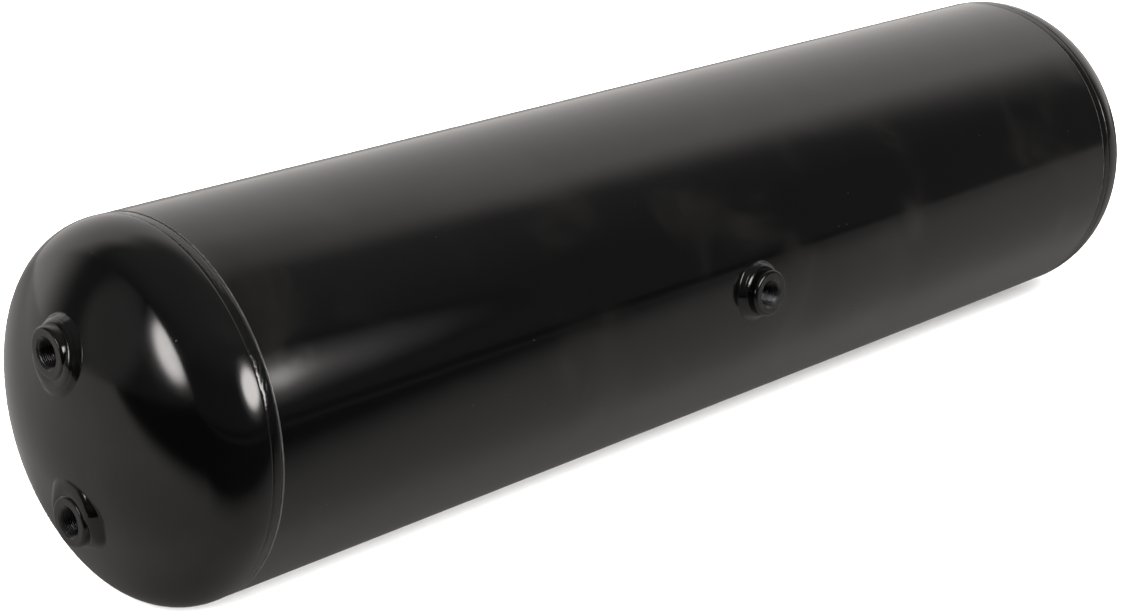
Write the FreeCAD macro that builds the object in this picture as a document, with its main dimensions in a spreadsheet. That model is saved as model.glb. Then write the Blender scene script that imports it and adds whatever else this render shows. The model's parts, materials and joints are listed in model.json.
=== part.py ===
# Horizontal pressure tank: a rolled steel shell, two dished heads and six welded screw ports.
# Millimetres. X runs along the tank, Y away from the side port, Z up from the floor that it lies on.
# The origin is on the floor, under the tank's axis, at the middle of its length.
import FreeCAD, Part
import math
import os
import re
import Sketcher

SIZES = {
    # shell
    "tank_diameter": 276,      # outside diameter of the shell and the heads
    "shell_length": 968,       # rolled plate, from end to end
    "shell_wall": 3,
    "seam_width": 4,           # weld that closes the rolled plate along its length, rolled flush
    "seam_angle": 52,          # degrees above the horizontal, on the side away from the side port
    # dished heads
    "head_wall": 3,
    "crown_ratio": 0.8,        # crown radius over the diameter
    "knuckle_ratio": 0.154,    # knuckle radius over the diameter
    "head_straight": 9.4,      # from the shell's end to where the knuckle starts
    "lap_length": 14,          # stepped-in skirt that the shell slides over
    "lap_clearance": 0.3,      # between that skirt and the shell
    "groove_width": 8,         # from the shell's end to the head's full diameter
    "groove_floor": 3,         # flat part of the groove, beside the shell's end
    "bead_sink": 0.4,          # how far the girth weld's two edges lie below the shell's face
    # screw ports, all alike
    "port_length": 26,
    "neck_diameter": 37,
    "neck_round": 1.2,
    "thread_minor": 20.376,    # tapped hole for an M22 x 1.5 fitting
    "mouth_diameter": 23.6,    # countersink at the hole's mouth
    "wall_clearance": 0.3,     # between a port and its hole in the plate
    # welds around the ports, from where a port's axis meets the plate
    "fillet_leg": 11.2,        # how far they reach from a port's neck
    "fillet_land": 2.5,        # flat top beside the neck
    "fillet_bow": 25,          # radius of their rounded face
    "fillet_root": 4,          # how deep their blanks run into the plate, before they are cut back
    "side_fillet_rise": 4,     # top of the side and back ports' welds, above the plate
    "side_fillet_drop": 3.2,   # how far its outer edge lies below that place
    "end_fillet_rise": 2.6,    # the same two for the end ports, on the flatter heads
    "end_fillet_drop": 2,
    # where the ports are
    "end_port_offset": 59,     # from the tank's axis
    "end_port_stand": 8.4,     # from the head, on the port's axis, to its face
    "end_port_roll": 5.5,      # degrees that their line leans back from the vertical
    "side_port_stand": 12.4,   # from the shell, on its axis, to its face
    "side_port_angle": 1.5,    # degrees above the horizontal; the back port is straight opposite
    "side_port_shift": -9,     # of both, along X, from the middle
}

DERIVED = {
    "tank_radius": "tank_diameter / 2",
    "half_length": "shell_length / 2",
    "crown_radius": "crown_ratio * tank_diameter",
    "knuckle_radius": "knuckle_ratio * tank_diameter",
    "lap_radius": "tank_radius - shell_wall - lap_clearance",
    # from the knuckle's centre to the crown's centre, along the tank
    "crown_setback": "sqrt((crown_radius - knuckle_radius)^2 - (tank_radius - knuckle_radius)^2)",
    "crown_centre": "head_straight - crown_setback",
    "arc_cosine": "crown_setback / (crown_radius - knuckle_radius)",
    "arc_sine": "(tank_radius - knuckle_radius) / (crown_radius - knuckle_radius)",
    "groove_slope": "(groove_width - groove_floor) / (tank_radius - lap_radius)",
    "seam_turn": "seam_width / tank_radius * 180 / pi",
    "bead_width": "groove_width - bead_sink * groove_slope",
    "bead_radius": "(bead_width^2 / 4 + bead_sink^2) / (2 * bead_sink)",
    "mouth_depth": "(mouth_diameter - thread_minor) / 2",
    "fillet_radius": "neck_diameter / 2 + fillet_leg",
    # from the crown's centre to where an end port's axis meets the head
    "port_lift": "sqrt(crown_radius^2 - end_port_offset^2)",
}

document = FreeCAD.newDocument("pressure_tank")
sheet = document.addObject("Spreadsheet::Sheet", "Dimensions")
for row, (alias, cell_text) in enumerate([*SIZES.items(), *DERIVED.items()], start=1):
    formula = "=" + cell_text if alias in DERIVED else str(cell_text)
    sheet.set(f"A{row}", alias)
    sheet.set(f"B{row}", formula)
    sheet.setAlias(f"B{row}", alias)
document.recompute()


def bound(expression):
    """The expression with each alias written as a reference to the sheet."""
    return re.sub(r"\b([a-z]+_[a-z_]+)\b", r"Dimensions.\1", expression)


def amount(expression):
    """The expression's value now, as a plain number."""
    result = sheet.evalExpression(expression)
    return float(getattr(result, "Value", result))


def bind(target, **properties):
    for name, expression in properties.items():
        target.setExpression(name, bound(expression))


def place(target, x="0", y="0", z="0", rotation=None):
    """Put an object at x, y, z, each bound to the sheet, and turn it."""
    target.Placement = FreeCAD.Placement(
        FreeCAD.Vector(amount(x), amount(y), amount(z)), rotation or FreeCAD.Rotation())
    for axis, expression in (("x", x), ("y", y), ("z", z)):
        target.setExpression(f".Placement.Base.{axis}", bound(expression))


def bowed_arc(start, end, radius, side):
    """The short arc between two points; side is 1 or -1, left or right of the way from start to end."""
    chord = end - start
    sagitta = radius - math.sqrt(radius ** 2 - (chord.Length / 2) ** 2)
    normal = FreeCAD.Vector(-chord.y, chord.x, 0).normalize()
    return Part.Arc(start, start + chord * 0.5 + normal * sagitta * side, end)


def turned_body(label, outline, turn="360"):
    """A body turned about its X axis. Each corner of the outline is (x, radius) in expressions; a third
    and fourth item make the edge that leaves it an arc of that radius, bowed to that side."""
    body = document.addObject("PartDesign::Body", label + "_body")
    plane = next(item for item in body.Origin.OriginFeatures if item.Role == "XY_Plane")
    sketch = body.newObject("Sketcher::SketchObject", label + "_outline")
    sketch.AttachmentSupport = [(plane, "")]
    sketch.MapMode = "FlatFace"
    corners = [FreeCAD.Vector(amount(corner[0]), amount(corner[1]), 0) for corner in outline]
    for index, corner in enumerate(outline):
        first, last = corners[index], corners[(index + 1) % len(corners)]
        if len(corner) > 2:
            sketch.addGeometry(bowed_arc(first, last, amount(corner[2]), corner[3]))
        else:
            sketch.addGeometry(Part.LineSegment(first, last))
    for index, corner in enumerate(outline):
        # Sketcher turns every arc anticlockwise, so an arc bowed to the right starts at its first corner.
        begins = 2 if len(corner) > 2 and corner[3] > 0 else 1
        before = outline[index - 1]
        ends = 1 if len(before) > 2 and before[3] > 0 else 2
        previous = (index - 1) % len(outline)
        sketch.addConstraint(Sketcher.Constraint("Coincident", previous, ends, index, begins))
        for kind, expression in (("DistanceX", corner[0]), ("DistanceY", corner[1])):
            if abs(amount(expression)) < 1e-9:
                across = -2 if kind == "DistanceX" else -1
                sketch.addConstraint(Sketcher.Constraint("PointOnObject", index, begins, across))
                continue
            number = sketch.addConstraint(
                Sketcher.Constraint(kind, -1, 1, index, begins, amount(expression)))
            sketch.setExpression(f"Constraints[{number}]", bound(expression))
        if len(corner) > 2:
            number = sketch.addConstraint(Sketcher.Constraint("Radius", index, amount(corner[2])))
            sketch.setExpression(f"Constraints[{number}]", bound(corner[2]))
    revolution = body.newObject("PartDesign::Revolution", label + "_turned")
    revolution.Profile = sketch
    revolution.ReferenceAxis = (sketch, ["H_Axis"])
    bind(revolution, Angle=turn)
    body.Tip = revolution
    document.recompute()
    return body


def cylinder(label, radius, height):
    item = document.addObject("Part::Cylinder", label)
    bind(item, Radius=radius, Height=height)
    return item


def cut(label, base, *tools):
    """Base less every tool."""
    for number, tool in enumerate(tools, start=1):
        result = document.addObject("Part::Cut", f"{label}_cut_{number}")
        result.Base = base
        result.Tool = tool
        base = result
    return base


parts = []


def keep(label, item):
    """Name a finished piece and list it for export."""
    item.Label = label
    parts.append(item)
    return item


# ---- Shell: one plate rolled into a tube. A weld along its length closes the gap that the rolling
# leaves, high on the side away from the side port.
along = FreeCAD.Vector(1, 0, 0)


def lay_on_axis(body, start_angle):
    """Raise a turned body to the tank's axis and start its turn at an angle, from +Y over the top."""
    place(body, z="tank_radius", rotation=FreeCAD.Rotation(along, amount(start_angle)))
    body.setExpression(".Placement.Rotation.Angle", bound(start_angle))


plate = turned_body("shell", [
    ("-half_length", "tank_radius"),
    ("half_length", "tank_radius"),
    ("half_length", "tank_radius - shell_wall"),
    ("-half_length", "tank_radius - shell_wall"),
], turn="360 - seam_turn")
lay_on_axis(plate, "seam_angle + seam_turn / 2")

seam_weld = turned_body("seam_weld", [
    ("-half_length", "tank_radius"),
    ("half_length", "tank_radius"),
    ("half_length", "tank_radius - shell_wall"),
    ("-half_length", "tank_radius - shell_wall"),
], turn="seam_turn")
lay_on_axis(seam_weld, "seam_angle - seam_turn / 2")
keep("seam_weld", seam_weld)

# ---- Ports: turned steel bosses that go through the plate, with a tapped hole and a countersunk mouth.
# A port's own X axis points out of the tank, with 0 at its face.
PORT_OUTLINE = [
    ("0", "mouth_diameter / 2"),
    ("0", "neck_diameter / 2 - neck_round", "neck_round", -1),
    ("-neck_round", "neck_diameter / 2"),
    ("-port_length", "neck_diameter / 2"),
    ("-port_length", "thread_minor / 2"),
    ("-mouth_depth", "thread_minor / 2"),
]


def weld_in_port(name, place_name, face, outward, foot, normal, plate_solid):
    """Make a port at face, pointing outward, and the weld around it at foot, where the plate's normal is
    given. The weld starts as a rounded button, and the plate and the port are cut from it. Returns the
    drill that makes the port's hole in the plate."""
    port = turned_body(name, PORT_OUTLINE)
    place(port, *face, rotation=FreeCAD.Rotation(along, outward))
    keep(name, port)
    inward = FreeCAD.Rotation(FreeCAD.Vector(0, 0, 1), -outward)
    drill = cylinder(name + "_drill", "neck_diameter / 2 + wall_clearance", "port_length")
    place(drill, *face, rotation=inward)
    core = cylinder(name + "_core", "(thread_minor + neck_diameter) / 4", "port_length")
    place(core, *face, rotation=inward)
    blank = turned_body(name + "_fillet", [
        ("-fillet_root", "0"),
        (f"{place_name}_fillet_rise", "0"),
        (f"{place_name}_fillet_rise", "neck_diameter / 2 + fillet_land", "fillet_bow", -1),
        (f"-{place_name}_fillet_drop", "fillet_radius"),
        ("-fillet_root", "fillet_radius"),
    ])
    place(blank, *foot, rotation=FreeCAD.Rotation(along, normal))
    keep(name + "_weld", cut(name + "_weld", blank, plate_solid, core, port))
    return drill


rise = math.radians(amount("side_port_angle"))
outward = FreeCAD.Vector(0, -math.cos(rise), math.sin(rise))
solid_shell = cylinder("solid_shell", "tank_radius", "shell_length")
place(solid_shell, "-half_length", z="tank_radius",
      rotation=FreeCAD.Rotation(FreeCAD.Vector(0, 0, 1), along))


def beside(side, radius):
    """A place that far from the tank's axis, level with the side port (1) or the back port (-1)."""
    return ("side_port_shift", f"{-side} * ({radius}) * cos(side_port_angle)",
            f"tank_radius + {side} * ({radius}) * sin(side_port_angle)")


shell_drills = []
for name, side in (("side_port", 1), ("back_port", -1)):
    way = outward * side
    shell_drills.append(weld_in_port(name, "side", beside(side, "tank_radius + side_port_stand"), way,
                                     beside(side, "tank_radius"), way, solid_shell))
keep("shell", cut("shell", plate, *shell_drills))

# ---- Heads: dished plates whose skirt is stepped in, so that the shell slides over it. The girth weld
# fills the groove between the shell's end and the step. Both start with their X axis out of the tank.
HEAD_OUTLINE = [
    ("crown_centre + crown_radius", "0", "crown_radius", -1),
    ("crown_centre + crown_radius * arc_cosine", "crown_radius * arc_sine", "knuckle_radius", -1),
    ("head_straight", "tank_radius"),
    ("groove_width", "tank_radius"),
    ("groove_floor", "lap_radius"),
    ("-lap_length", "lap_radius"),
    ("-lap_length", "lap_radius - head_wall"),
    ("groove_floor", "lap_radius - head_wall"),
    ("groove_width", "tank_radius - head_wall"),
    ("head_straight", "tank_radius - head_wall", "knuckle_radius - head_wall", 1),
    ("crown_centre + (crown_radius - head_wall) * arc_cosine", "(crown_radius - head_wall) * arc_sine",
     "crown_radius - head_wall", 1),
    ("crown_centre + crown_radius - head_wall", "0"),
]

GIRTH_OUTLINE = [
    ("0", "tank_radius - bead_sink", "bead_radius", 1),
    ("bead_width", "tank_radius - bead_sink"),
    ("groove_floor", "lap_radius"),
    ("0", "lap_radius"),
]

for end, sign in (("left", -1), ("right", 1)):
    facing = FreeCAD.Vector(sign, 0, 0)
    turned_out = FreeCAD.Rotation(FreeCAD.Vector(0, 0, 1), 90 - 90 * sign)
    dish = turned_body(end + "_head", HEAD_OUTLINE)
    place(dish, f"{sign} * half_length", z="tank_radius", rotation=turned_out)
    girth_weld = turned_body(end + "_girth_weld", GIRTH_OUTLINE)
    place(girth_weld, f"{sign} * half_length", z="tank_radius", rotation=turned_out)
    keep(end + "_girth_weld", girth_weld)
    crown_ball = document.addObject("Part::Sphere", end + "_crown_ball")
    bind(crown_ball, Radius="crown_radius")
    place(crown_ball, f"{sign} * (half_length + crown_centre)", z="tank_radius")

    drills = []
    for level, lift in (("upper", 1), ("lower", -1)):
        roll = math.radians(amount("end_port_roll"))
        climb = math.asin(amount("end_port_offset / crown_radius"))
        normal = FreeCAD.Vector(sign * math.cos(climb), lift * math.sin(climb) * math.sin(roll),
                                lift * math.sin(climb) * math.cos(roll))
        across = f"{lift} * end_port_offset * sin(end_port_roll)"
        height = f"tank_radius + {lift} * end_port_offset * cos(end_port_roll)"
        foot = (f"{sign} * (half_length + crown_centre + port_lift)", across, height)
        face = (f"{foot[0]} + {sign} * end_port_stand", across, height)
        drills.append(weld_in_port(f"{end}_{level}_port", "end", face, facing, foot, normal, crown_ball))
    keep(end + "_head", cut(end + "_head", dish, *drills))

# ---- Check every object, then write one file for each piece.
document.recompute()
for item in document.Objects:
    if "Invalid" in item.State or "Error" in item.State:
        raise RuntimeError(f"{item.Label} did not build: {item.State}")
os.makedirs("parts", exist_ok=True)
for item in parts:
    if item.Shape.isNull() or not item.Shape.isValid() or not item.Shape.Solids:
        raise RuntimeError(f"{item.Label} has no sound solid")
for item in parts:
    item.Shape.exportStep(f"parts/{item.Label}.step")
    print(f"{item.Label}: {item.Shape.Volume / 1000:.1f} cm3 in {len(item.Shape.Solids)} solid(s)")
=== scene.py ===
"""The looks of a horizontal pressure tank: rolled shell, dished heads, welds and tapped screw ports.
Metres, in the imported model's frame: X along the tank, Y away from the side port, Z up from the floor."""
import json
import math
import bmesh
import bpy
import numpy as np
from mathutils import Matrix, Vector


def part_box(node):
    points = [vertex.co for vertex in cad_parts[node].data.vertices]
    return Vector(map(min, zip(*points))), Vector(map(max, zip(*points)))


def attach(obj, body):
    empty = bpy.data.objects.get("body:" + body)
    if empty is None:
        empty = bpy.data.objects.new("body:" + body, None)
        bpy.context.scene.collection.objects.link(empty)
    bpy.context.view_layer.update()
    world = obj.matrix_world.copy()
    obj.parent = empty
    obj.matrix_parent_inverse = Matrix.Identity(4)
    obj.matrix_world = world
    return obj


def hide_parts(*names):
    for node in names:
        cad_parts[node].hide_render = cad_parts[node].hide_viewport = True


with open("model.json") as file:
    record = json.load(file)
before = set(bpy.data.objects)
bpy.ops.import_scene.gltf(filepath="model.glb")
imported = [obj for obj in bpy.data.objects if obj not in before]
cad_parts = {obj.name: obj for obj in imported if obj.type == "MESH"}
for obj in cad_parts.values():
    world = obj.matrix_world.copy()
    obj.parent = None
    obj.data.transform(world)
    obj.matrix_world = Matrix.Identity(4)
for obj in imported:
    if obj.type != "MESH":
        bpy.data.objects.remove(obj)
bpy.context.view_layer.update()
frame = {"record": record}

# ---- Shell. One steel plate, 3 mm thick, rolled into a tube and welded shut along its length.
# It is sprayed all over with gloss black enamel once everything is welded on, and its edges are
# slightly rounded where the plate was sheared. The plate draws in a little beside the girth welds.
mounts = {mount["name"]: mount for mount in frame["record"]["mounts"]}
tank_radius = mounts["left_strap_land"]["dims"]["r_mm"] / 1000
half_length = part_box("shell")[1].x
wall = 0.003
shell_edge = 0.0009                 # rounding of the plate's sheared ends
shell_draw = 0.00015                # how far the ends are drawn in by the girth welds
shell_draw_reach = 0.016
shell_waves = (                     # size, waves per metre along, waves around, start
    (0.00005, 2.0, 3, 0.4),
    (0.00004, 5.3, 2, 2.1),
    (0.00003, 9.1, 5, 4.4),
    (0.00002, 17.0, 7, 1.3))
seam_middle = (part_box("seam_weld")[0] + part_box("seam_weld")[1]) / 2
seam_angle = math.atan2(seam_middle.z - tank_radius, seam_middle.y)
seam_half = 0.002 / tank_radius     # half of the seam's width, as an angle
seam_depth = 0.0009                 # groove that the seam weld fills
port_clearance = 0.0188             # radius of a port's hole in the plate
sharp_corner = math.radians(38)     # edges that turn more than this stay crisp


def around(x, radius, angle):
    """Points at a radius and angle about the tank's axis; the angle runs from +Y over the top."""
    x, radius, angle = np.broadcast_arrays(x, radius, angle)
    return np.stack([x, radius * np.cos(angle), tank_radius + radius * np.sin(angle)], axis=-1)


def skin(name, grid, materials, row_slots=None, wrap_rows=True):
    """A smooth-shaded mesh over a grid of points that closes on itself across its columns, and across
    its rows too unless told not to. row_slots gives each row's material slot."""
    rows, columns = grid.shape[:2]
    row = np.arange(rows if wrap_rows else rows - 1)
    here = np.arange(columns)
    right = (here + 1) % columns
    below = (row + 1) % rows
    corners = [row[:, None] * columns + here, row[:, None] * columns + right,
               below[:, None] * columns + right, below[:, None] * columns + here]
    faces = np.stack(corners, axis=-1).reshape(-1, 4)
    mesh = bpy.data.meshes.new(name)
    mesh.from_pydata(grid.reshape(-1, 3).tolist(), [], faces.tolist())
    if row_slots is not None:
        slots = np.repeat(np.asarray(row_slots)[row], columns)
        mesh.polygons.foreach_set("material_index", slots.astype(np.int32))
    build = bmesh.new()
    build.from_mesh(mesh)
    bmesh.ops.remove_doubles(build, verts=build.verts, dist=1e-6)
    bmesh.ops.dissolve_degenerate(build, edges=build.edges, dist=1e-7)
    bmesh.ops.recalc_face_normals(build, faces=build.faces)
    for face in build.faces:
        face.smooth = True
    build.to_mesh(mesh)
    build.free()
    mesh.set_sharp_from_angle(angle=sharp_corner)
    for material in materials:
        mesh.materials.append(material)
    piece = bpy.data.objects.new(name, mesh)
    bpy.context.scene.collection.objects.link(piece)
    return piece


def bore_through(piece, start, axis, radius, length):
    """Cut a round hole of that length in a piece, from start inward, against the axis."""
    drill = bpy.data.meshes.new("drill")
    build = bmesh.new()
    bmesh.ops.create_cone(build, cap_ends=True, segments=64, radius1=radius, radius2=radius, depth=length)
    turn = Vector(axis).to_track_quat("Z", "Y").to_matrix().to_4x4()
    centre = Vector(start) - Vector(axis) * (length / 2)
    bmesh.ops.transform(build, matrix=Matrix.Translation(centre) @ turn, verts=build.verts)
    build.to_mesh(drill)
    build.free()
    tool = bpy.data.objects.new("drill", drill)
    bpy.context.scene.collection.objects.link(tool)
    cut = piece.modifiers.new("bore", "BOOLEAN")
    cut.operation = "DIFFERENCE"
    cut.solver = "EXACT"
    cut.object = tool
    bpy.context.view_layer.update()
    bored = bpy.data.meshes.new_from_object(piece.evaluated_get(bpy.context.evaluated_depsgraph_get()))
    piece.modifiers.clear()
    piece.data = bored
    bpy.data.objects.remove(tool)
    bored.set_sharp_from_angle(angle=sharp_corner)


class Wire:
    """A socket of a node tree. Arithmetic on it adds Math nodes, and add() adds a node of any kind."""

    def __init__(self, tree, socket=None):
        self.tree = tree
        self.socket = socket

    def add(self, kind, inputs=None, output=0, **settings):
        """Add a node of that kind, set it up, fill its sockets and return one of its outputs."""
        node = self.tree.nodes.new("ShaderNode" + kind)
        for name, value in settings.items():
            setattr(node, name, value)
        for name, value in (inputs or {}).items():
            self.feed(node.inputs[name], value)
        return Wire(self.tree, node.outputs[output])

    def feed(self, socket, value):
        """Link a wire to a socket, or set the socket to a plain value."""
        if isinstance(value, Wire):
            self.tree.links.new(value.socket, socket)
        else:
            socket.default_value = value

    def math(self, operation, first, second=0.0):
        """A Math node on two wires or numbers."""
        return self.add("Math", {0: first, 1: second}, operation=operation)

    def __add__(self, other):
        return self.math("ADD", self, other)

    def __radd__(self, other):
        return self.math("ADD", other, self)

    def __sub__(self, other):
        return self.math("SUBTRACT", self, other)

    def __rsub__(self, other):
        return self.math("SUBTRACT", other, self)

    def __mul__(self, other):
        return self.math("MULTIPLY", self, other)

    def __rmul__(self, other):
        return self.math("MULTIPLY", other, self)

    def __truediv__(self, other):
        return self.math("DIVIDE", self, other)

    def __rtruediv__(self, other):
        return self.math("DIVIDE", other, self)

    def __abs__(self):
        return self.math("ABSOLUTE", self)

    def positive(self):
        """This value where it is above 0, and 0 elsewhere."""
        return self.math("MAXIMUM", self, 0.0)

    def length(self):
        """How long these coordinates are as a vector."""
        return self.add("VectorMath", {0: self}, "Value", operation="LENGTH")

    def dot(self, direction):
        """How far these coordinates reach that way."""
        return self.add("VectorMath", {0: self, 1: direction}, "Value", operation="DOT_PRODUCT")

    def part(self, letter):
        """One of the coordinates: X, Y or Z."""
        return self.add("SeparateXYZ", {"Vector": self}, letter)

    def rise(self, low, high):
        """0 below low, 1 above high, and a smooth step between; low may be the larger."""
        return self.add("MapRange", {0: self, 1: low, 2: high}, interpolation_type="SMOOTHSTEP")

    def noise(self, scale, detail=2.0, roughness=0.5, distortion=0.0):
        """Noise over this wire's coordinates, about 0.5."""
        return self.add("TexNoise", {"Vector": self, "Scale": scale, "Detail": detail,
                                     "Roughness": roughness, "Distortion": distortion})

    def stretched(self, x, y, z):
        """These coordinates times x, y and z."""
        return self.add("VectorMath", {0: self, 1: (x, y, z)}, operation="MULTIPLY")

    def mix(self, first, second):
        """A colour between two, by this wire's value. Either can be a wire."""
        ends = [end if isinstance(end, Wire) else (*end, 1) for end in (first, second)]
        return self.add("Mix", {0: self, 6: ends[0], 7: ends[1]}, 2, data_type="RGBA")

    def relief(self, distance=1.0):
        """The normal of a surface with this wire's heights on it, in metres times distance."""
        return self.add("Bump", {"Strength": 1.0, "Distance": distance, "Height": self})


def finish(name):
    """A new material: itself, its shader, and a wire of the piece's own coordinates."""
    material = bpy.data.materials.new(name)
    material.use_nodes = True
    tree = material.node_tree
    shader = tree.nodes["Principled BSDF"]
    return material, shader, Wire(tree).add("TexCoord", {}, "Object")


def black_enamel(name, ripple=0.00004, dirt=1.0, lengthwise=True, worn_and_highlight_from=1.0):
    """Gloss black spray enamel: orange peel, gentle ripples, dust nibs, wiped patches and fine scratches.
    Along X, past the reach given as the last argument, it has drawn back from a sheared edge and is thin
    and grey; that pale grey is also partly a painted highlight along the edge."""
    material, shader, place = finish(name)
    peel = place.noise(430, 2, 0.45)
    slow = place.noise(26, 1, 0.4)
    nib_cell = place.add("TexVoronoi", {"Vector": place, "Scale": 95.0})
    nib_pick = place.add("TexVoronoi", {"Vector": place, "Scale": 95.0}, "Color")
    nib_keep = place.add("SeparateColor", {"Color": nib_pick}).rise(0.80, 0.82)
    nib = nib_cell.rise(0.085, 0.03) * nib_keep
    wiped = place.noise(9, 5, 0.62, 0.6).rise(0.50, 0.74)
    streak = place.stretched(6, 300, 300) if lengthwise else place.stretched(300, 40, 12)
    scratch = streak.noise(1.4, 3, 0.6).rise(0.70, 0.78) * place.noise(14, 2).rise(0.5, 0.66)
    bloom = place.noise(3.2, 3, 0.6)
    shade = wiped * 0.42 * dirt + nib * 0.8 * dirt + scratch * 0.3 * dirt
    reach = abs(place.part("X"))
    # Past the sheared edge the paint is worn thin and pale grey; the grey is made light enough to be partly
    # a painted highlight of the rounded edge.
    worn_edge_and_highlight = reach.rise(worn_and_highlight_from, worn_and_highlight_from + 0.0003) * (0.35 + 0.65 * place.noise(60, 4, 0.6))
    enamel = shade.mix((0.0036, 0.0036, 0.0038), (0.030, 0.029, 0.027))
    place.feed(shader.inputs["Base Color"], worn_edge_and_highlight.mix(enamel, (0.26, 0.255, 0.25)))
    gloss = 0.085 + worn_edge_and_highlight * 0.25 + bloom * 0.05 + wiped * 0.09 * dirt + nib * 0.2 + scratch * 0.15 * dirt
    place.feed(shader.inputs["Roughness"], gloss)
    height = peel * 0.0000035 + slow * ripple + nib * 0.00004 - scratch * 0.000004
    place.feed(shader.inputs["Normal"], height.relief())
    return material


def bare_steel(name):
    """The unpainted inside: blue-grey mill scale with brown bloom."""
    material, shader, place = finish(name)
    bloom = place.noise(18, 6, 0.65).rise(0.42, 0.7)
    place.feed(shader.inputs["Base Color"], bloom.mix((0.045, 0.047, 0.052), (0.085, 0.048, 0.028)))
    place.feed(shader.inputs["Roughness"], 0.42 + bloom * 0.35)
    shader.inputs["Metallic"].default_value = 0.6
    place.feed(shader.inputs["Normal"], place.noise(300, 4, 0.6).relief(0.00005))
    return material


def plate_dip(x, angle):
    """How far the shell lies inside its true radius."""
    drawn = shell_draw * np.exp(-((half_length - np.abs(x)) / shell_draw_reach) ** 2)
    waves = sum(size * (1 + np.sin(along * x * 2 * math.pi + around_it * angle + start)) / 2
                for size, along, around_it, start in shell_waves)
    return drawn + waves


# The shell's pale edge band is partly worn paint and partly a painted highlight of the rounded plate edge.
shell_enamel = black_enamel("shell_enamel", worn_and_highlight_from=half_length - shell_edge - 0.0003)
inner_steel = bare_steel("inner_steel")
fine_ends = half_length - np.array([0.001, 0.003, 0.006, 0.010, 0.015, 0.021])
plain_x = np.linspace(-half_length + 0.028, half_length - 0.028, 200)
outer_x = np.concatenate([-fine_ends, plain_x, fine_ends[::-1]])
edge_turns = np.linspace(0, math.pi / 2, 4)
edge_x = half_length - shell_edge * (1 - np.sin(edge_turns))
edge_drop = shell_edge * (1 - np.cos(edge_turns))
inner_x = np.linspace(half_length, -half_length, 24)
row_x = np.concatenate([-edge_x[::-1], outer_x, edge_x, inner_x])
row_drop = np.concatenate([edge_drop[::-1], np.zeros(len(outer_x)), edge_drop, np.full(len(inner_x), wall)])
row_outer = np.concatenate([np.ones(len(row_x) - len(inner_x)), np.zeros(len(inner_x))])
seam_edges = np.array([-1.25, -1.0, -0.5, 0, 0.5, 1.0, 1.25]) * seam_half
open_plate = np.linspace(seam_half * 2, 2 * math.pi - seam_half * 2, 250)
column_angle = seam_angle + np.concatenate([seam_edges, open_plate])
seam_dip = np.concatenate([[0, 1, 1, 1, 1, 1, 0], np.zeros(len(open_plate))]) * seam_depth
shell_x, shell_angle = np.meshgrid(row_x, column_angle, indexing="ij")
shell_dip = row_outer[:, None] * (seam_dip + plate_dip(shell_x, shell_angle))
shell_radius = tank_radius - row_drop[:, None] - shell_dip
shell = skin("rolled_shell", around(shell_x, shell_radius, shell_angle), [shell_enamel, inner_steel],
             (row_outer < 0.5).astype(int))

for name in ("side", "back"):
    mount = mounts[name + "_thread"]
    axis = Vector(mount["axis"])
    bore_through(shell, Vector(mount["pos_m"]) + axis * 0.03, axis, port_clearance, length=0.06)
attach(shell, "root")
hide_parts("shell")

# ---- Long seam. The weld that closes the rolled plate, high on the side away from the side port.
# It is planished nearly flush, so only low ripples and a thin line at each toe still show.
rng = np.random.default_rng(11)


def ripples(distance, pitch, wander, sharpness=0.6):
    """The overlapping scales of a weld bead, 0 in the hollows and 1 on the crests. wander shifts them."""
    turn = (distance / pitch + wander) * 2 * math.pi
    return 0.5 + 0.5 * np.cos(turn + sharpness * np.sin(turn))


def drifting(count, steps, seed_draws, wrap=True):
    """A smooth random walk about 0 with that many samples; steps is how many bends it has."""
    knots = seed_draws.normal(size=steps)
    knots = np.append(knots, knots[0] if wrap else seed_draws.normal())
    where = np.linspace(0, steps, count, endpoint=not wrap)
    low = np.minimum(where.astype(int), steps - 1)
    blend = where - low
    blend = blend * blend * (3 - 2 * blend)
    return knots[low] * (1 - blend) + knots[low + 1] * blend


bead_enamel = black_enamel("bead_enamel", ripple=0.00003, dirt=0.7)
seam_pitch = 0.0024                 # from one ripple to the next
seam_ripple = 0.00012
seam_rows = 1900
seam_across = np.array([-1.0, -0.9, -0.6, -0.3, 0, 0.3, 0.6, 0.9, 1.0])     # share of seam_half
seam_x = np.linspace(-half_length + shell_edge, half_length - shell_edge, seam_rows)
seam_wander = drifting(seam_rows, 60, rng, wrap=False)
seam_crown = np.array([-0.00030, -0.00010, 0.00002, 0.00010, 0.00012, 0.00010, 0.00002, -0.00010, -0.00030])
seam_top = seam_crown + seam_ripple * (
    ripples(seam_x[:, None], seam_pitch, seam_wander[:, None] * 0.3 - 0.35 * seam_across ** 2) - 1)
seam_width = 1 + 0.06 * drifting(seam_rows, 90, rng, wrap=False)
seam_turns = seam_angle + seam_across * seam_half * seam_width[:, None]
top = around(seam_x[:, None], tank_radius - plate_dip(seam_x[:, None], seam_turns) + seam_top, seam_turns)
root = around(seam_x[:, None], tank_radius - 2 * seam_depth, seam_turns[:, ::-1])
seam = skin("long_seam", np.concatenate([top, root], axis=1), [bead_enamel], wrap_rows=False)
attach(seam, "root")
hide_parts("seam_weld")

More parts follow.
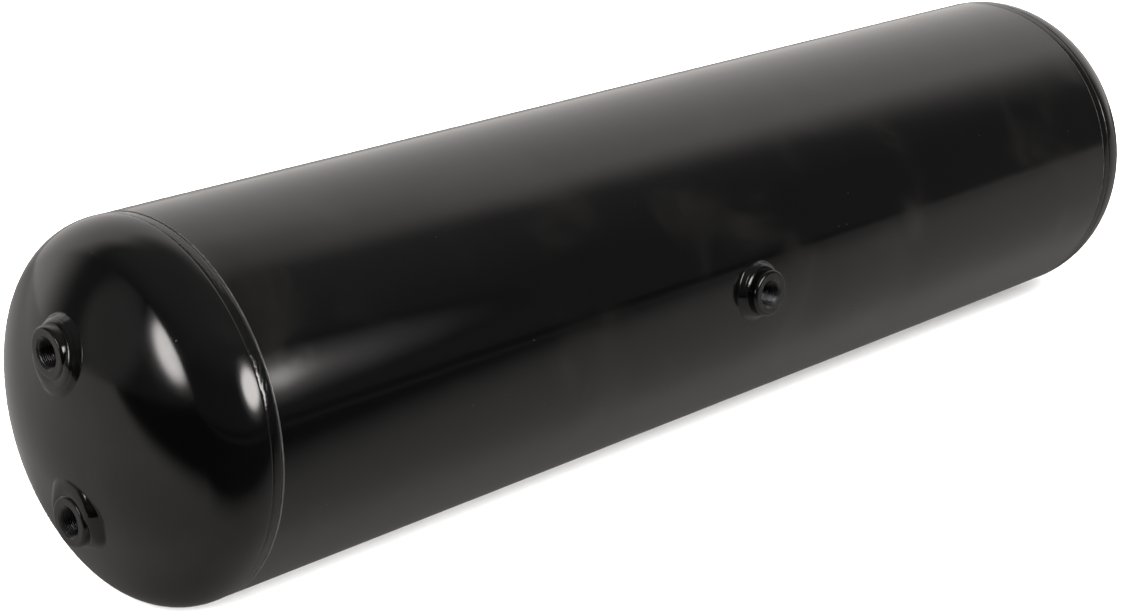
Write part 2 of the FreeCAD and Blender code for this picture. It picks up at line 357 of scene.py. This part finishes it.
# ---- Heads. Torispherical dishes pressed from 3 mm plate: a shallow crown, a tight knuckle and a short
# straight skirt, stepped in so that the shell slides over it. The same enamel covers them outside.
crown_radius = 0.8 * 2 * tank_radius
knuckle_radius = 0.154 * 2 * tank_radius
head_straight = 0.0094              # from the shell's end to where the knuckle starts
groove_width = 0.008
groove_floor = 0.003
lap_clearance = 0.0003              # between the skirt and the shell that slides over it
lap_radius = tank_radius - wall - lap_clearance
lap_length = 0.014
press_mark = 0.00012                # how far the press leaves the dish uneven
head_drill = 0.05                   # length of the cut for a port's hole
crown_setback = math.sqrt((crown_radius - knuckle_radius) ** 2 - (tank_radius - knuckle_radius) ** 2)
crown_centre = head_straight - crown_setback
crown_half_angle = math.atan2(tank_radius - knuckle_radius, crown_setback)
head_enamel = black_enamel("head_enamel", ripple=0.00006, dirt=0.8, lengthwise=False)


def dish_outline(inset, crown_steps, knuckle_steps):
    """Reach beyond the shell's end and radius, from the middle of the crown to the knuckle's foot."""
    turn = np.linspace(0, crown_half_angle, crown_steps)
    crown = np.stack([crown_centre + (crown_radius - inset) * np.cos(turn),
                      (crown_radius - inset) * np.sin(turn)], axis=1)
    turn = np.linspace(crown_half_angle, math.pi / 2, knuckle_steps)[1:]
    knuckle = np.stack([head_straight + (knuckle_radius - inset) * np.cos(turn),
                        tank_radius - knuckle_radius + (knuckle_radius - inset) * np.sin(turn)], axis=1)
    return np.concatenate([crown, knuckle])


outer_dish = dish_outline(0, 80, 34)
inner_dish = dish_outline(wall, 24, 12)[::-1]
skirt = np.array([
    (groove_width + 0.0004, tank_radius),
    (groove_width, tank_radius - 0.0002),
    (groove_floor, lap_radius),
    (-lap_length, lap_radius),
    (-lap_length, lap_radius - wall),
    (groove_floor, lap_radius - wall),
    (groove_width, tank_radius - wall)])
head_outline = np.concatenate([outer_dish, skirt, inner_dish])
painted_rows = len(outer_dish) + 2  # the dish and the groove's shoulder; the rest is out of sight
head_slots = [0 if row < painted_rows else 1 for row in range(len(head_outline))]
head_turns = np.linspace(0, 2 * math.pi, 288, endpoint=False)
port_places = {"left": {}, "right": {}}
for end, sign in (("left", -1), ("right", 1)):
    reach, radius = head_outline[:, :1], head_outline[:, 1:]
    uneven = press_mark * (np.sin(2 * head_turns + sign) + 0.6 * np.sin(3 * head_turns + 1.1))
    pressed = np.exp(-((radius / tank_radius - 0.85) / 0.2) ** 2) * uneven - press_mark * (radius > 0.05)
    head_points = around(sign * (half_length + reach), radius + np.minimum(pressed, 0), head_turns)
    head = skin(end + "_dish", head_points, [head_enamel, inner_steel], head_slots, wrap_rows=False)
    for level in ("upper", "lower"):
        mount = mounts[f"{end}_{level}_thread"]
        face_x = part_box(f"{end}_{level}_port")[0 if sign < 0 else 1].x
        face = Vector((face_x, mount["pos_m"][1], mount["pos_m"][2]))
        port_places[end][level] = (face, Vector(mount["axis"]))
        bore_through(head, face, Vector(mount["axis"]), port_clearance, head_drill)
    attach(head, "root")
    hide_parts(end + "_head")

# ---- Girth welds. One bead each, run round the groove between the shell's end and the head.
# They lie just under the shell's rounded edge, drawn smooth along the run, with wandering lines and a
# narrow undercut where they meet the head; each overlaps itself where the run ends.
bead_pitch = 0.0034                 # from one scale to the next
bead_ripple = 0.00002               # height of the scales
bead_wrinkle = 0.00003              # height of the lines along the run
bead_reach = 0.0086                 # from the shell's end to the toe on the head
bead_root = 0.0004                  # how far the bead bites into the skirt
bead_overlap = 0.9 * math.pi        # where the run closes on itself
bead_columns = 2304
bead_fall = np.array([              # below the tank's radius, from the shell's edge to the head
    0.00085, 0.00060, 0.00046, 0.00038, 0.00033, 0.00029, 0.00025,
    0.00021, 0.00018, 0.00016, 0.00017, 0.00022, 0.00038, 0.00064])
bead_spread = np.linspace(0.0, 1.0, len(bead_fall))[:, None]
for end, sign in (("left", -1), ("right", 1)):
    turns = np.linspace(0, 2 * math.pi, bead_columns, endpoint=False)
    run = turns * tank_radius
    toe = bead_reach + 0.00030 * drifting(bead_columns, 110, rng)
    toe = toe + 0.00016 * drifting(bead_columns, 420, rng)
    wander = 0.35 * drifting(bead_columns, 90, rng)
    reach = bead_spread * toe
    chevron = 0.85 * (bead_spread - 0.35) ** 2
    scale = ripples(run[None, :], bead_pitch, wander[None, :] + chevron)
    drift = 0.5 * drifting(bead_columns, 70, rng) + 0.35 * drifting(bead_columns, 260, rng)
    lines = np.sin(2 * math.pi * (2.6 * bead_spread + drift[None, :]))
    uneven = 1 + 0.6 * drifting(bead_columns, 130, rng)
    swell = np.sin(bead_spread * math.pi) ** 0.5
    fall = bead_fall[:, None] + swell * (bead_ripple * (1 - scale) + bead_wrinkle * uneven * (1 + lines))
    overlap = np.exp(-((turns - bead_overlap) / 0.05) ** 2)
    fall = np.maximum(fall - 0.00015 * overlap, 0.00001)
    top = around(sign * (half_length + reach), tank_radius - fall, turns)
    root_reach = np.array([[groove_floor + 0.001], [0.0]])
    root = around(sign * (half_length + root_reach), lap_radius - bead_root, turns)
    bead = skin(end + "_girth_bead", np.concatenate([top, root]), [bead_enamel])
    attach(bead, "root")
    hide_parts(end + "_girth_weld")

# ---- Ports. Six like bosses turned from steel bar and tapped M22 x 1.5 through, with a countersunk
# mouth. They are pushed through the plate before welding. Paint is thin and dull on their faces,
# which were masked, and the threads are bare oiled steel.
port_length = 0.026
neck_radius = 0.0185
neck_round = 0.0022                 # rounding of the rim
face_inset = 0.00015                # keeps the faces inside the stated length of the ports
mouth_radius = 0.0118
turning_step = 0.00035              # from one ring of the lathe's tool to the next
thread_minor = mounts["side_thread"]["dims"]["r_mm"] / 1000
thread_major = 0.011
thread_pitch = 0.0015
thread_columns = 72


def neck_paint():
    """Enamel on the port's sides: wetter and a little heavier than on the plate."""
    return black_enamel("port_enamel", ripple=0.00002, dirt=0.5)


def face_paint():
    """Thin, dull paint over the lathe's rings on the port's face."""
    material, shader, place = finish("port_face_paint")
    rings = place.math("SINE", place.stretched(1, 1, 0).length() * (2 * math.pi / turning_step))
    worn = place.noise(220, 4, 0.6).rise(0.4, 0.7)
    place.feed(shader.inputs["Base Color"], worn.mix((0.006, 0.006, 0.0062), (0.018, 0.018, 0.018)))
    place.feed(shader.inputs["Roughness"], 0.30 + worn * 0.16)
    height = rings * 0.000004 + worn * 0.00001
    place.feed(shader.inputs["Normal"], height.relief())
    return material


def thread_steel():
    """Cut threads: oiled steel with a haze of overspray near the mouth."""
    material, shader, place = finish("thread_steel")
    haze = place.part("Z").rise(-0.010, -0.001)
    stain = place.noise(160, 4, 0.6).rise(0.35, 0.75)
    place.feed(shader.inputs["Base Color"], stain.mix((0.060, 0.062, 0.066), (0.022, 0.021, 0.020)))
    place.feed(shader.inputs["Metallic"], 0.9 - haze * 0.6)
    place.feed(shader.inputs["Roughness"], 0.26 + stain * 0.2)
    return material


def tapped_bore():
    """Rows of points down a right-hand thread, from the mouth to the inner end, in the port's own frame."""
    phases = np.array([0.0, 0.12, 0.45, 0.62])      # a crest and a root, as shares of the pitch
    sizes = np.array([thread_minor, thread_minor, thread_major, thread_major])
    turns = math.ceil(port_length / thread_pitch) + 2
    along = (np.arange(-1, turns)[:, None] + phases).ravel()
    across = np.tile(sizes, turns + 1)
    share = np.arange(thread_columns + 1) / thread_columns
    depth = (along[:, None] + share) * thread_pitch
    size = np.broadcast_to(across[:, None], depth.shape)
    depth = np.clip(depth, 0, port_length)
    size = np.maximum(size, mouth_radius - depth)
    turn = share * 2 * math.pi
    return np.stack([size * np.cos(turn), size * np.sin(turn), -depth], axis=-1)


def boss_mesh(materials):
    """The turned body: bore, mouth, face, rounded rim, neck and inner end, about its own Z axis."""
    build = bmesh.new()
    bore = [[build.verts.new(point) for point in row] for row in tapped_bore()]
    for above, below in zip(bore, bore[1:]):
        for column in range(thread_columns):
            build.faces.new((above[column], above[column + 1], below[column + 1], below[column]))
    outline = [(mouth_radius, 0.0), (mouth_radius + 0.0006, 0.0), (neck_radius - neck_round - 0.0008, 0.0)]
    face_rings = len(outline) - 1
    outline += [(neck_radius - neck_round * (1 - math.sin(turn)), neck_round * (math.cos(turn) - 1))
                for turn in np.linspace(0, math.pi / 2, 6)]
    outline += [(neck_radius, -0.006), (neck_radius, -port_length), (thread_minor, -port_length)]
    share = np.arange(thread_columns + 1) / thread_columns * 2 * math.pi
    rings = [[build.verts.new((radius * math.cos(turn), radius * math.sin(turn), depth)) for turn in share]
             for radius, depth in outline]
    for row, (above, below) in enumerate(zip(rings, rings[1:])):
        for column in range(thread_columns):
            face = build.faces.new((above[column], below[column], below[column + 1], above[column + 1]))
            face.material_index = 1 if row < face_rings else 2
    bmesh.ops.remove_doubles(build, verts=build.verts, dist=2e-6)
    bmesh.ops.dissolve_degenerate(build, edges=build.edges, dist=1e-7)
    bmesh.ops.recalc_face_normals(build, faces=build.faces)
    for face in build.faces:
        face.smooth = True
    mesh = bpy.data.meshes.new("boss")
    build.to_mesh(mesh)
    build.free()
    mesh.set_sharp_from_angle(angle=math.radians(32))
    for material in materials:
        mesh.materials.append(material)
    return mesh


boss = boss_mesh([thread_steel(), face_paint(), neck_paint()])
places = {}
for name in ("side", "back"):
    mount = mounts[name + "_thread"]
    axis = Vector(mount["axis"])
    face_reach = port_length - mount["dims"]["length_mm"] / 2000 - face_inset
    places[name] = (Vector(mount["pos_m"]) + axis * face_reach, axis)
places.update({f"{end}_{level}": place for end in port_places for level, place in port_places[end].items()})
for number, (name, (face, axis)) in enumerate(places.items()):
    port = bpy.data.objects.new(name + "_boss", boss)
    bpy.context.scene.collection.objects.link(port)
    spin = Matrix.Rotation(number * 1.3, 4, "Z")
    port.matrix_world = Matrix.Translation(face) @ axis.to_track_quat("Z", "Y").to_matrix().to_4x4() @ spin
    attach(port, "root")
    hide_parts(name + "_port")

# ---- Port welds. A fillet runs round each boss where it passes through the plate, in one or two
# passes: high on the neck, plump, with a steep flank and a soft, uneven toe that the paint fills.
fillet_columns = 320
fillet_rows = 30
fillet_pitch = 0.0029               # from one scale to the next
fillet_run = 0.023                  # radius that the scales are spaced along
toe_flare = 0.0009                  # paint that fills the corner beyond the toe
toe_edge = 0.00022                  # step left at the toe
ring_depth = 0.0015                 # how far the ring's closed underside lies in the plate
restart = 4.0                       # angle where the run starts and ends, with a lump
between_passes = ((0.58, 0.07, 1.0), (0.85, 0.05, 0.7))     # grooves: share of the flank, width, depth


def depth_to_crown(face, axis, offset):
    """From the plane of an end port's face, how deep the head's outer face lies at each offset."""
    middle = Vector((math.copysign(half_length + crown_centre, axis.x), 0, tank_radius))
    spot = np.array(face - middle) + offset
    ahead = spot @ np.array(axis)
    beside = (spot ** 2).sum(axis=-1) - ahead ** 2
    return ahead - np.sqrt(crown_radius ** 2 - beside)


def depth_to_shell(face, axis, offset):
    """The same for the side and back ports and the shell's outer face."""
    spot = (np.array(face - Vector((0, 0, tank_radius))) + offset)[..., 1:]
    ahead = spot @ np.array(axis)[1:]
    return ahead - np.sqrt(ahead ** 2 - (spot ** 2).sum(axis=-1) + tank_radius ** 2)


def fillet(name, plate_depth, face, axis, inward, toe_radius, toe_shift, climb, highest, passes):
    """A weld ring round a port. Its toe is a circle, shifted toward inward; climb is how far it rises up
    the neck, but no nearer to the face than highest."""
    turn = np.linspace(0, 2 * math.pi, fillet_columns, endpoint=False)
    sideways = np.cross(np.array(axis), np.array(inward))
    ways = np.cos(turn)[:, None] * np.array(inward) + np.sin(turn)[:, None] * sideways

    def plate_at(radius):
        return plate_depth(face, axis, radius[..., None] * ways)

    toe = toe_shift * np.cos(turn) + np.sqrt(toe_radius ** 2 - (toe_shift * np.sin(turn)) ** 2)
    toe = toe + 0.00016 * drifting(fillet_columns, 14, rng) + 0.00008 * drifting(fillet_columns, 40, rng)
    neck = np.full(fillet_columns, neck_radius - 0.0002)
    height = np.minimum(climb, plate_at(neck) - highest) + 0.00014 * drifting(fillet_columns, 10, rng)
    share = np.linspace(0, 1, fillet_rows)[:, None]
    radius = neck + share * (toe - neck)
    rise = height * (1 - share ** 2.2)
    if passes == 2:
        hollow = sum(deep * np.exp(-((share - at) / wide) ** 2) for at, wide, deep in between_passes)
        rise = rise - 0.00030 * hollow * (height / climb) * (1 + 0.25 * drifting(fillet_columns, 12, rng))
    wander = 0.5 * drifting(fillet_columns, 24, rng)
    scale = ripples(turn * fillet_run, fillet_pitch, wander + 0.6 * (share - 0.5) ** 2)
    rise = rise - 0.00003 * np.sin(share * math.pi) * (1 - scale)
    past_start = np.mod(turn - restart + math.pi, 2 * math.pi) - math.pi
    rise = rise + 0.0004 * np.exp(-(past_start / 0.25) ** 2) * np.exp(-((share - 0.6) / 0.2) ** 2)
    rise[-1] = toe_edge
    depth = plate_at(radius) - rise
    flare = toe + toe_flare
    nearer = toe + toe_flare * 0.35
    under = flare - 0.001
    root = neck - 0.001
    radius = np.vstack([radius, nearer, flare, under, root])
    depth = np.vstack([depth, plate_at(nearer) - 0.00006, plate_at(flare) + 0.00006,
                       plate_at(under) + ring_depth, plate_at(root) + ring_depth])
    points = np.array(face) + radius[..., None] * ways - depth[..., None] * np.array(axis)
    return skin(name, points, [bead_enamel])


welds = {}
for name in ("side", "back"):
    face, axis = places[name]
    welds[name] = fillet(name + "_boss_weld", depth_to_shell, face, axis, Vector((-1, 0, 0)),
                         toe_radius=0.0236, toe_shift=0.0014, climb=0.0054, highest=0.004, passes=2)
for end, levels in port_places.items():
    for level, (face, axis) in levels.items():
        inward = Vector((0, -face.y, tank_radius - face.z)).normalized()
        name = f"{end}_{level}"
        passes = 2 if level == "upper" else 1
        welds[name] = fillet(name + "_boss_weld", depth_to_crown, face, axis, inward,
                             toe_radius=0.0270, toe_shift=0.0034, climb=0.0064, highest=0.0013,
                             passes=passes)
for name, weld in welds.items():
    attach(weld, "root")
    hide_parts(name + "_port_weld")

# ---- Floor. A plain pale floor. In the enamel it shows only as a glowing pale board under the tank, whose front edge is close by,
# with darker ground and one pale strip beyond it. That glow is painted light, with a painted shadow under
# the tank and a painted pool of light to its left.
floor_half = 9.0
board_edge = 0.53                   # from the tank's middle forward to the board's edge
board_slant = 0.486                 # how much further forward the edge runs for each metre to the right
board_light = 0.425
floor_mesh = bpy.data.meshes.new("floor")
floor_corners = [(x * floor_half, y * floor_half, 0) for x, y in ((-1, -1), (1, -1), (1, 1), (-1, 1))]
floor_mesh.from_pydata(floor_corners, [], [(0, 1, 2, 3)])
floor = bpy.data.objects.new("floor", floor_mesh)
bpy.context.scene.collection.objects.link(floor)
floor_paper = bpy.data.materials.new("floor_paper")
floor_paper.use_nodes = True
paper = floor_paper.node_tree.nodes["Principled BSDF"]
ground = Wire(floor_paper.node_tree).add("TexCoord", {}, "Object")
along = ground.part("X")
across = ground.part("Y")
past_edge = across + along * board_slant + board_edge
softness = (along + 0.6).positive() * 0.26 + 0.07
board = (past_edge / softness).rise(-1.0, 1.0)
# Painted shadow: the board's glow is dimmed under the tank.
under = across.rise(-0.145, -0.045) * across.rise(0.30, 0.12) * along.rise(-0.60, -0.50)
strip = across.rise(-1.80, -1.55) * across.rise(-1.25, -1.50)
# Painted pool of light: the board glows brighter beyond the tank's left end.
painted_light_left = along.rise(-0.52, -0.95) * 0.22
# The floor's glow in reflections is painted light, with the painted shadow and pool of light on it.
painted_floor_glow = 0.012 + board * (board_light + painted_light_left) * (1 - under * 0.72) + strip * 0.16
seen = ground.add("LightPath", {}, "Is Camera Ray")
ground.feed(paper.inputs["Base Color"], seen.mix((0, 0, 0), (0.9, 0.9, 0.9)))
ground.feed(paper.inputs["Emission Color"], (painted_floor_glow * (1 - seen)).mix((0, 0, 0), (1.0, 0.96, 0.925)))
paper.inputs["Emission Strength"].default_value = 1.0
paper.inputs["Roughness"].default_value = 0.9
paper.inputs["Specular IOR Level"].default_value = 0.0
floor_mesh.materials.append(floor_paper)

# ---- Light. Two soft boxes beside the camera, a pale backdrop behind the tank with a grey card to its
# left, and a wide soft light over the floor alone, which keeps it white.
scene = bpy.context.scene


def softbox(name, centre, aim, width, height, tilt, strength):
    """An oval soft box, bright inside its width and height and fading beyond. The camera doesn't see it."""
    mesh = bpy.data.meshes.new(name)
    build = bmesh.new()
    bmesh.ops.create_circle(build, cap_ends=True, segments=48, radius=2)
    build.to_mesh(mesh)
    build.free()
    box = bpy.data.objects.new(name, mesh)
    scene.collection.objects.link(box)
    turn = (Vector(aim) - Vector(centre)).to_track_quat("Z", "Y").to_matrix().to_4x4()
    turn = turn @ Matrix.Rotation(math.radians(tilt), 4, "Z")
    box.matrix_world = Matrix.Translation(centre) @ turn @ Matrix.Diagonal((width / 2, height / 2, 1, 1))
    glow = bpy.data.materials.new(name)
    glow.use_nodes = True
    tree = glow.node_tree
    tree.nodes.remove(tree.nodes["Principled BSDF"])
    place = Wire(tree).add("TexCoord", {}, "Object")
    reach = place.length()
    fade = reach.rise(1.30, 0.72) * 0.93 + reach.rise(2.0, 0.9) * 0.07
    light = place.add("Emission", {"Color": (1.0, 0.965, 0.945, 1), "Strength": fade * strength})
    place.feed(tree.nodes["Material Output"].inputs["Surface"], light)
    mesh.materials.append(glow)
    box.visible_camera = False


def away(start, azimuth, elevation, distance):
    """A point that far from start, towards an azimuth from +X and an elevation."""
    flat = math.cos(math.radians(elevation))
    return Vector(start) + distance * Vector((flat * math.cos(math.radians(azimuth)),
                                              flat * math.sin(math.radians(azimuth)),
                                              math.sin(math.radians(elevation))))


left_shoulder = Vector((-0.49, -0.10, 0.20))
softbox("right_softbox", away(left_shoulder, -70.3, 18.2, distance=2.1), left_shoulder,
        width=1.07, height=0.76, tilt=0, strength=14.5)
softbox("left_softbox", away(left_shoulder, 174.5, 14.5, distance=2.1), left_shoulder,
        width=0.25, height=0.80, tilt=-45, strength=14.0)

sky = bpy.data.worlds.new("studio")
scene.world = sky
sky.use_nodes = True
backdrop_way = away((0, 0, 0), 49, 0, distance=1)
card_way = away((0, 0, 0), 149, 12, distance=1)
backdrop_light = 1.04
toward = Wire(sky.node_tree).add("TexCoord", {}, "Generated")
flat = toward.stretched(1, 1, 0)
flat = flat.add("VectorMath", {0: flat}, operation="NORMALIZE")
height = toward.part("Z")
corner = (height - 0.45).positive() * 0.5
backdrop = (flat.dot(backdrop_way) - corner).rise(0.24, 0.60) * height.rise(0.94, 0.70)
ceiling = height.rise(0.35, 0.95)
card = toward.dot(card_way).rise(0.950, 0.985)
dark = 0.085 + ceiling * 0.14 + card * 0.24
brightness = dark + backdrop * (backdrop_light - dark)
background = sky.node_tree.nodes["Background"]
toward.feed(background.inputs["Color"], brightness.mix((0, 0, 0), (1.0, 0.96, 0.935)))
seen = toward.add("LightPath", {}, "Is Camera Ray")
white = toward.add("Background", {"Color": (1, 1, 1, 1), "Strength": 1.0})
studio = Wire(sky.node_tree, background.outputs[0])
both = toward.add("MixShader", {0: seen, 1: studio, 2: white})
toward.feed(sky.node_tree.nodes["World Output"].inputs["Surface"], both)

floor_light = bpy.data.lights.new("floor_light", "SUN")
floor_light.energy = 20.0
floor_light.angle = math.radians(70)
overhead = bpy.data.objects.new("floor_light", floor_light)
scene.collection.objects.link(overhead)
overhead.rotation_euler = Vector((0.55, 0.60, -0.75)).to_track_quat("-Z", "Y").to_euler()
floor_only = bpy.data.collections.new("floor_only")
floor_only.objects.link(floor)
overhead.light_linking.receiver_collection = floor_only

# ---- Camera. It looks along the tank from beyond its left end and a little above it, through a long
# lens, so that the left head and the side port both face it.
camera = bpy.data.objects.new("camera", bpy.data.cameras.new("camera"))
scene.collection.objects.link(camera)
camera.location = (-1.3409, -1.2419, 0.7233)
camera.rotation_euler = Vector((0.67104, 0.66580, -0.32622)).to_track_quat("-Z", "Y").to_euler()
camera.data.sensor_width = 36
camera.data.lens = 74.43
scene.camera = camera
scene.view_settings.view_transform = "Standard"
